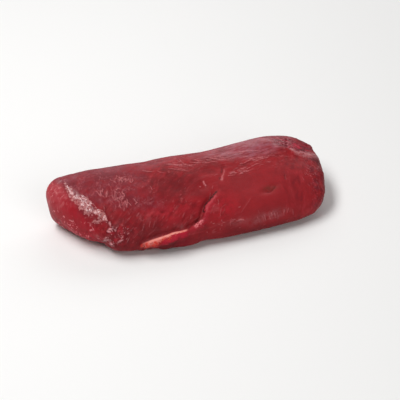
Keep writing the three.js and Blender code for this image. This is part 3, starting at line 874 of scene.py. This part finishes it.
def raw_venison():
    """Deep red lean meat: fibres along the grain, a purple-grey film with pale tangled threads and a painted
    sheen on the crest, a paler cut end partly by painted light, a salmon flap edge, slits and creases dark
    with painted shade, painted shade low down, and a wet film that is glossiest on the rim, where its glints
    are painted pale too."""
    f = Finish("raw_venison")
    at = Measures(*map(f.measure, Measures._fields))
    film, calm, cut, rim, slant = at.film, at.calm, at.cut, at.rim, at.slant
    patches = f.uneven(15, 3, 0.4)
    mottle = f.uneven(4.5, 3)
    grit = f.uneven(1.1, 2)
    straight = f.streaks((1, 0.12, 0.1), 16, 2.2, 3)
    diagonal = f.streaks((0.72, 0.49, 0.49), 26, 5)
    slanted = f.streaks((0.75, 0.47, 0.47), 20, 3.6)
    steep = f.streaks(STEEP, 9, 1.8, 3, 0.6)
    fibres = lerp(lerp(straight, slanted, slant), steep, film)
    fibres = (1 - 0.78 * calm) * (1 - 0.7 * at.dusk) * (1 - 0.3 * film) * fibres
    tangle = f.threads(f.grain(STEEP, 9, 2.6), 1, 0.06, 0.8)
    cross_tangle = f.threads(f.grain((0.8, -0.2, 0.3), 9, 3), 1, 0.05, 1)
    broken = f.uneven(9, 1)
    tangled = film * broken.step(-0.3, 0.6) * (tangle + 0.7 * cross_tangle).clipped()
    strokes = lerp(f.strokes((0.97, 0.17, 0.17)), f.strokes((0.7, 0.5, 0.5)), slant)
    strokes = strokes * (1 - calm) * (1 - cut) * broken.step(0, 0.8)
    crest = (at.crest * (1 + 0.5 * straight)).clipped()
    bands = slant * (1 - film) * (1 - cut) * (1 - 0.6 * at.dusk)
    threads = at.pale.step(0.2, 0.8) * (0.85 + 0.45 * grit).clipped()
    shaded_gaps = at.dark.step(0.2, 0.8)

    colour = f.mix(patches.step(-0.9, 0.9), srgb(126, 22, 28), srgb(150, 27, 34))
    colour = f.coats(colour, [
        # Painted light: the calm right part is brightened where the key light falls off
        (0.6 * calm, (152, 41, 46)),
        (0.8 * at.rich * mottle.step(-1.2, 0.6), (172, 30, 42)),
        # Painted shade in the centre, at the front and along the foot
        (at.dusk * (0.85 + 0.12 * mottle), (106, 20, 26)),
        (film * (0.75 + 0.25 * mottle), (122, 34, 44)),
        (0.5 * film * (0 - patches).step(0, 1), (108, 28, 38)),
        (0.42 * bands * diagonal.step(0, 1), (166, 38, 47)),
        (0.4 * bands * (0 - diagonal).step(0, 1), (100, 22, 28)),
        # The crest's membrane film, lightened further as a painted sheen
        (crest * (0.75 + 0.25 * mottle), (158, 86, 99)),
        (0.7 * at.haze * (0.6 + 0.6 * mottle).clipped(), (156, 90, 94)),
        (0.45 * fibres.step(0.2, 1.7), (180, 66, 70)),
        (0.5 * (0 - fibres).step(0.2, 1.7), (92, 16, 22)),
        (0.3 * tangled, (180, 96, 104)),
        # Pale strokes along the grain, partly a painted highlight on wet fibres
        (0.25 * strokes, (192, 96, 98)),
    ])
    colour = paint_cut_end(f, colour, cut, mottle)
    colour = paint_ragged_end(f, colour, at.ragged, at.lobe, mottle)
    colour = paint_lobe(f, colour, at.lobe, at.crimson, at.holes, grit)
    colour = f.coats(colour, [
        # Painted shade beside the threads and in the tears and the pit
        (0.7 * shaded_gaps, (78, 14, 20)),
        # Pale threads of tissue, partly a painted highlight on wet fibres
        (0.85 * threads, (202, 112, 116)),
        # Painted shade in the dent, a little brown
        (0.75 * at.bruise * (0.8 + 0.4 * mottle).clipped(), (112, 44, 38)),
    ])
    # Painted highlight: whitish patches of the rim's glint, which also get more coat
    glint_patches = broken_glint(f, rim, mottle)
    colour = paint_rim(f, colour, rim, at.corner, glint_patches, mottle, grit)
    colour = paint_glints(f, colour, at.glint, at.corner)
    colour = paint_flap(f, colour, at.seam, at.seam_walked, mottle, grit)
    colour = paint_slit(f, colour, at.seam, at.seam_walked, at.slit, at.slit_walked, mottle, grit)
    colour = paint_skin_edge(f, colour, at.edge, at.edge_walked, mottle, straight, grit)

    wet = 0.4 * rim + 0.6 * glint_patches + at.glint.step(0.2, 0.7) + 0.5 * crest + 0.1 * grit.step(0, 1)
    wet = wet.clipped()
    height = 0.02 * (1 - 0.5 * calm) * fibres + 0.015 * grit + 0.02 * mottle + 0.03 * rim * grit
    height = height + 0.08 * tangled + 0.2 * threads - 0.15 * shaded_gaps + 0.1 * strokes
    bump = f.value("Bump", {}, {"Strength": 1.0, "Distance": MM, "Height": height})
    f.set(
        Base_Color=colour,
        Roughness=(0.5 - 0.12 * wet + 0.03 * mottle).clipped(),
        Coat_Weight=wet,
        Normal=bump,
        Specular_IOR_Level=0.14,
        Subsurface_Weight=0.1,
        Subsurface_Radius=(1.0, 0.25, 0.15),
        Subsurface_Scale=0.002,
        Coat_Roughness=0.22,
    )
    return f.material


def paint_cut_end(f, colour, cut, mottle):
    """The cut end: saturated red, with pale upright streaks on its left and a paler upper edge, that
    paleness partly painted light, and darker facets low down with sparse pale dots of painted glint."""
    upright = f.streaks((0.2, 0.1, 1), 8, 2.4, 2, 0.6)
    up = f.along((0, 0, 1))
    # Partly painted light: the left, upper part of the cut end is lightened where the key light falls
    lit_left_part = cut * f.along((0, 1, 0.3)).step(8, 30) * (0.1 + 0.9 * up.step(22, 36))
    low_part = cut * up.fade(14, 26)
    shade, crack = f.facets(3.2)
    # Painted glints: sparse pale dots low on the cut end
    glint_specks = cut * up.fade(24, 32) * shade.step(0.68, 0.72) * crack.step(0.12, 0.24)
    return f.coats(colour, [
        (cut * (0.8 + 0.2 * mottle), (162, 30, 42)),
        (0.5 * low_part * shade.step(0.5, 0.7), (186, 34, 56)),
        (0.4 * low_part * shade.fade(0.3, 0.45), (100, 20, 28)),
        (lit_left_part * (0.75 + 0.3 * mottle), (176, 70, 77)),
        (0.65 * glint_specks, (226, 136, 142)),
        (0.62 * lit_left_part * upright.step(-0.1, 1.1), (210, 124, 126)),
    ])


def paint_ragged_end(f, colour, ragged, lobe, mottle):
    """The ragged end with pinkish crumbs on its rim, painted glints, and before it soft folds that run round
    the fillet, painted as darker shade and brighter light."""
    before_end = f.along((1, 0, 0)).step(62, 88) * (1 - lobe)
    folds = f.streaks((0.15, 0.75, 0.65), 10, 4, 2, 0.5)
    crumbs = f.uneven(1.9, 2).step(0.8, 1.2)
    # Painted shade and light on the soft folds; painted glints on the ragged rim
    return f.coats(colour, [
        (ragged * mottle.step(-0.9, 1), (116, 33, 42)),
        (0.42 * before_end * folds.step(0.1, 1.3), (108, 28, 36)),
        (0.4 * before_end * (0 - folds).step(0.1, 1.3), (176, 52, 60)),
        (0.4 * ragged * (1 - lobe) * crumbs, (200, 110, 114)),
    ])


def paint_lobe(f, colour, lobe, crimson, holes, grit):
    """The lobe behind the skin edge: dark, with crimson streaks towards its tip, and by its pit brown
    holes in a pinkish net."""
    streaks = f.streaks((0.9, -0.35, -0.25), 18, 3, 2, 0.3)
    net = f.threads(f.where, 4, 0.05, 1.0)
    red = lobe * streaks.step(-0.1, 0.7) * 0.6 + crimson * streaks.step(-1, 0.2)
    return f.coats(colour, [
        (0.85 * lobe, (116, 26, 40)),
        (red, (184, 32, 58)),
        (0.6 * holes * (0.8 + 0.3 * grit).clipped(), (96, 34, 40)),
        (0.8 * holes * net, (208, 124, 132)),
    ])


def broken_glint(f, rim, mottle):
    """Patches of the rim's glint, painted as a whitish highlight and given more coat, with dark cracks
    between them.
    """
    shade, crack = f.facets(4.6)
    crumbs = f.uneven(2.6, 2)
    patches = (0.75 * rim + 0.8 * (shade - 0.5) + 0.15 * mottle).step(0.42, 0.6) * crack.step(0.0, 0.08)
    return patches * rim.step(0.05, 0.25) * crumbs.step(-1.3, -0.1)


def paint_rim(f, colour, rim, corner, glint_patches, mottle, grit):
    """The cut end's rim, dark red between the patches of its painted highlight, and the near corner,
    darkened as painted shade in its folds, with crimson in them.
    """
    return f.coats(colour, [
        # Painted shade in the near corner's folds
        (0.55 * corner * mottle.step(-0.8, 0.4), (88, 18, 28)),
        (0.3 * corner * (0 - mottle).step(0.2, 1), (168, 28, 50)),
        (0.5 * rim * (1 - glint_patches), (120, 36, 46)),
        (0.56 * glint_patches * (0.9 + 0.2 * grit).clipped(), (220, 148, 147)),
    ])


def paint_glints(f, colour, glint, corner):
    """Painted highlights: glinting threads, and finer pale curls at the near corner."""
    curls = f.threads(f.grain((0.8, 0.3, 0.4), 5, 3), 1, 0.045, 1.2)
    curls = curls * corner.step(0.6, 0.92) * f.uneven(3.2, 1).step(0.1, 0.5)
    return f.coats(colour, [
        (0.85 * glint.step(0.35, 0.85), (222, 146, 150)),
        (0.8 * curls, (224, 148, 152)),
    ])


def paint_flap(f, colour, seam, walked, mottle, grit):
    """The flap's top edge: a crumbly salmon band, wide to the left and thin to the right, with a painted
    highlight along its top, over a deep saturated red that is partly painted shade, with painted shade in a
    hollow and along its foot by the floor. Distances are from the seam, and lengths along it, in mm."""
    seam = seam - 0.5 * walked.fade(34, 40)
    crumbled = seam + 1.2 * mottle + 0.8 * grit
    shown = walked.plateau(8, 13, 50, 54) * seam.step(-0.5, 0.3)
    width = 1.1 + 0.9 * walked.fade(40, 50) + 2.1 * walked.plateau(10, 20, 26, 32)
    across = crumbled / width
    bright = shown * walked.step(25, 31) * (seam + 1.5 * mottle).fade(3.5, 7)
    low_band = across.step(0.35, 0.8) * walked.fade(24, 32)
    band = shown * across.fade(0.8, 1.1) * (1 - 0.4 * low_band)
    hollow = walked.plateau(15.5, 17.5, 20.5, 22.5) * seam.plateau(3.6, 4.8, 8, 9.5)
    foot = shown * walked.plateau(22, 28, 38, 46) * seam.step(5.5, 7.5)
    top = shown * walked.step(17, 22) * (seam + 0.3 * grit).fade(0.8, 1.5)
    colour = f.coats(colour, [
        # The flap's own deep red, darkened partly as painted shade on its front face
        (0.95 * shown * seam.fade(10, 14), (122, 16, 28)),
        (0.85 * bright, (184, 30, 52)),
        (0.6 * shown * across.fade(1.2, 1.9) * walked.plateau(16, 24, 34, 44), (176, 34, 32)),
    ])
    salmon = f.mix((mottle + 0.3 * grit).step(-0.7, 0.2), srgb(202, 60, 50), srgb(216, 110, 101))
    return f.coats(f.mix(band, colour, salmon), [
        (0.8 * shown * walked.fade(11, 20) * (grit + mottle).step(-0.8, 0.2), (112, 26, 28)),
        # Painted shade in the hollow and along the foot by the floor, and a painted highlight along the top
        # edge
        (0.9 * hollow, (98, 8, 14)),
        (0.6 * foot, (84, 18, 20)),
        (top * (0.8 + 0.2 * mottle).clipped(), (236, 152, 140)),
    ])


def paint_slit(f, colour, seam, walked, slit, slit_walked, mottle, grit):
    """The slit: a sharp dark line of painted shade, of uneven depth, beside a hollow of painted shade, with
    a lit fibrous lip and pink flecks of painted highlight to its right, and the short crease above it, with
    painted shade on its left and pale on its right."""
    off = seam + 0.7 * mottle + 0.4 * grit
    off_line = slit + 0.35 * mottle + 0.2 * grit
    off_crease = seam + 0.5 * mottle + 0.25 * grit
    open_part = slit_walked.plateau(0.3, 2.5, 25, 28)
    lip = walked.plateau(50, 58, 84, 98) * off.plateau(0, 1, 2.5, 7)
    hollow = walked.plateau(57, 64, 92, 100) * abs(off + 1.3).fade(0.6, 3)
    lit = open_part * off_line.plateau(0.7, 1.8, 2.4, 4.4) * (0.7 + 0.6 * mottle).clipped()
    flecks = walked.plateau(58, 61, 66.5, 69) * off.plateau(-0.4, 0.4, 2.6, 3.8)
    crease = walked.plateau(109, 112, 122.5, 124)
    crease_shade = crease * (1 - walked.plateau(112, 114, 117, 119)) * abs(off_crease + 1.8).fade(0.3, 1.3)
    crease_width = 0.6 + 0.7 * walked.fade(111, 121)
    pale_crease = crease * (abs(off_crease - 0.2) / crease_width).fade(0.3, 1.2)
    line = open_part * abs(off_line).fade(0.2, 0.95) * (1.05 + 0.35 * mottle).clipped()
    # Painted shade: the hollow, the crease's left side and the slit's line; painted highlights: the pink
    # flecks
    return f.coats(colour, [
        (0.6 * lip, (168, 28, 46)),
        (0.35 * hollow, (92, 26, 28)),
        (0.38 * lit, (204, 88, 96)),
        (0.85 * flecks * (0.7 * mottle + 0.7 * grit).step(-0.5, 0.3), (230, 124, 130)),
        (0.5 * crease_shade, (84, 18, 24)),
        ((0.65 - 0.3 * walked.step(112, 119)) * pale_crease, (200, 112, 114)),
        (0.9 * line, (62, 14, 16)),
    ])


def paint_skin_edge(f, colour, edge, walked, mottle, straight, grit):
    """The membrane's raised edge: a broken greyish pink band, partly a painted sheen, which moves over to
    the edge's right hand on its way to the ragged end, and painted shade in a crease and a fold beside it."""
    off = edge + 3.2 - 2.6 * walked.step(12, 24) + 0.6 * mottle + 0.8 * straight
    shown = walked.plateau(6, 16, 42, 48)
    last_part = walked.step(29, 36)
    half_width = 3 + 2.6 * walked.step(12, 28)
    broken = (0.7 + 0.4 * straight + 0.4 * grit).clipped()
    off_crease = abs(off - 5.5 - 2 * last_part) / (1 + 1.4 * last_part)
    # Painted shade in the crease and the fold; the band is the membrane, partly a painted sheen
    return f.coats(colour, [
        (0.6 * shown * walked.step(24, 32) * off_crease.fade(0.3, 1.3), (92, 26, 32)),
        (0.7 * shown * walked.step(18, 25) * abs(off + 7 + 5 * last_part).fade(1.5, 4), (92, 26, 34)),
        (0.8 * shown * (abs(off) / half_width).fade(0.3, 1.2) * broken, (194, 130, 134)),
    ])


# Stage

# Soft panels: where each stands as the camera sees it (right, back and up), its distance, sides and power
PANELS = {
    "key": ((-0.42, -0.05, 0.9), 1.3, (0.4, 1.4), 15),
    "back": ((0.2, 0.8, 0.55), 1.6, (2.0, 0.8), 8.5),
    "fill": ((0.45, -0.75, 0.5), 1.8, (1.0, 0.8), 7.5),
}
FLOOR_HALF_SIDE = 4.0
FLOOR_COLOUR = (0.9, 0.895, 0.885, 1)
SKY_STRENGTH = 0.12


def floor():
    """A pale matt square, far wider than the picture."""
    corners = np.array([(-1, -1, 0), (1, -1, 0), (1, 1, 0), (-1, 1, 0)]) * FLOOR_HALF_SIDE
    piece = mesh_object("floor", corners, [(0, 1, 2, 3)])
    finish = Finish("floor")
    finish.set(Base_Color=FLOOR_COLOUR, Roughness=0.9)
    piece.data.materials.append(finish.material)


def towards(right, back, up):
    """A direction given as seen by the camera, over the floor: right, away and up."""
    c, s = math.cos(CAMERA_AZIMUTH), math.sin(CAMERA_AZIMUTH)
    return Vector((right * c - back * s, right * s + back * c, up)).normalized()


def area_light(name, place, distance, size, power):
    """A soft panel that faces the origin. Its first side runs to the camera's right, as nearly as it can."""
    light = bpy.data.lights.new(name, "AREA")
    light.shape = "RECTANGLE"
    light.size, light.size_y = size
    light.energy = power
    direction = towards(*place)
    up_panel = direction.cross(towards(1, 0, 0)).normalized()
    across = up_panel.cross(direction)
    lamp = in_scene(name, light)
    lamp.location = direction * distance
    lamp.rotation_euler = Matrix((across, up_panel, direction)).transposed().to_euler()


def camera():
    """The camera that took the photograph, without its tilt to the side."""
    data = bpy.data.cameras.new("camera")
    data.sensor_width = SENSOR_MM
    data.lens = FOCAL_LENGTH_PX * SENSOR_MM / FRAME_PX
    seen = in_scene("camera", data)
    seen.location = CAMERA_PLACE
    seen.rotation_euler = (math.pi / 2 - CAMERA_ELEVATION, 0, CAMERA_AZIMUTH)
    bpy.context.scene.camera = seen


def stage():
    """Floor, faint even light from all round, panels and camera."""
    scene = bpy.context.scene
    scene.view_settings.view_transform = "Standard"
    world = bpy.data.worlds.new("studio")
    world.use_nodes = True
    background = world.node_tree.nodes["Background"]
    background.inputs["Color"].default_value = (1, 1, 1, 1)
    background.inputs["Strength"].default_value = SKY_STRENGTH
    scene.world = world
    floor()
    for name, panel in PANELS.items():
        area_light(name, *panel)
    camera()


stage()
build_fillet()
